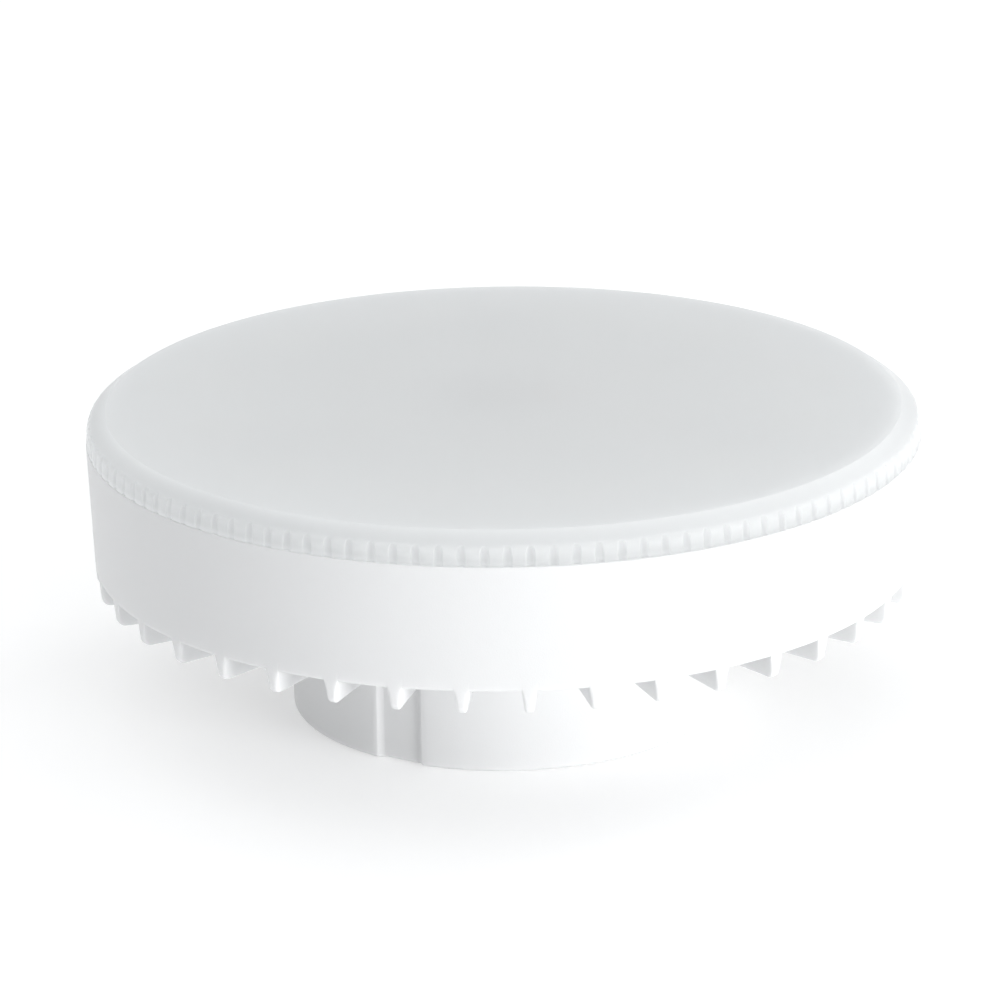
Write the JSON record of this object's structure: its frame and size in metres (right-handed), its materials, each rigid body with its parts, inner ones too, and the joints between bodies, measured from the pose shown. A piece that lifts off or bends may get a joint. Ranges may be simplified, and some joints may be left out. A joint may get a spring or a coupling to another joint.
{
  "type": "led disc lamp",
  "caption": "Round disc lamp with a domed opal diffuser over a white housing, cooling fins round its underside, a central hub and mushroom-head contact pins for a twist-in holder.",
  "frame": {"origin": "centre of the hub's foot, on which the lamp stands", "axes": "+Z along the lamp's axis towards the diffuser, X through the contact pins, -Y to the front"},
  "size_m": [0.075, 0.075, 0.0291],
  "materials": {
    "housing_white": "white moulded plastic, fine satin",
    "diffuser_opal": "translucent opal plastic, silky",
    "pin_nickel": "turned brass, nickel plated",
    "tag_brass": "pressed brass",
    "spreader_aluminium": "pressed sheet, plain mill finish",
    "light_board_white": "white solder mask on aluminium core",
    "screw_steel": "zinc plated",
    "driver_board_green": "green solder mask on glass fibre board",
    "capacitor_sleeve": "can in a dark shrink sleeve",
    "film_capacitor_yellow": "moulded box",
    "ferrite_grey": "sintered ferrite",
    "winding_copper": "lacquered copper wire",
    "epoxy_black": "moulded epoxy with tinned legs",
    "resistor_lacquer": "lacquered body",
    "resistor_film": "glass over film, tinned caps",
    "lead_white": "insulated stranded lead",
    "lead_red": "insulated stranded lead",
    "lead_black": "insulated stranded lead",
    "emitter_package": "moulded package with phosphor"
  },
  "bodies": {
    "root": {"housing": "housing_white", "diffuser": "diffuser_opal", "contact_pin_left": "pin_nickel", "contact_pin_right": "pin_nickel", "pin_terminal_left": "tag_brass", "pin_terminal_right": "tag_brass", "heat_spreader": "spreader_aluminium", "led_board": "light_board_white", "board_screws": "screw_steel", "driver_board": "driver_board_green", "bulk_capacitor": "capacitor_sleeve", "film_capacitor": "film_capacitor_yellow", "inductor_core": "ferrite_grey", "inductor_winding": "winding_copper", "bridge_rectifier": "epoxy_black", "driver_chip": "epoxy_black", "output_diode": "epoxy_black", "fusible_resistor": "resistor_lacquer", "sense_resistor_1": "resistor_film", "sense_resistor_2": "resistor_film", "input_lead_left": "lead_white", "input_lead_right": "lead_white", "output_lead_positive": "lead_red", "output_lead_negative": "lead_black", "led_01": "emitter_package", "led_02": "emitter_package", "led_03": "emitter_package", "led_04": "emitter_package", "led_05": "emitter_package", "led_06": "emitter_package", "led_07": "emitter_package", "led_08": "emitter_package", "led_09": "emitter_package", "led_10": "emitter_package", "led_11": "emitter_package", "led_12": "emitter_package", "led_13": "emitter_package", "led_14": "emitter_package", "led_15": "emitter_package", "led_16": "emitter_package", "led_17": "emitter_package", "led_18": "emitter_package"}
  },
  "joints": []
}
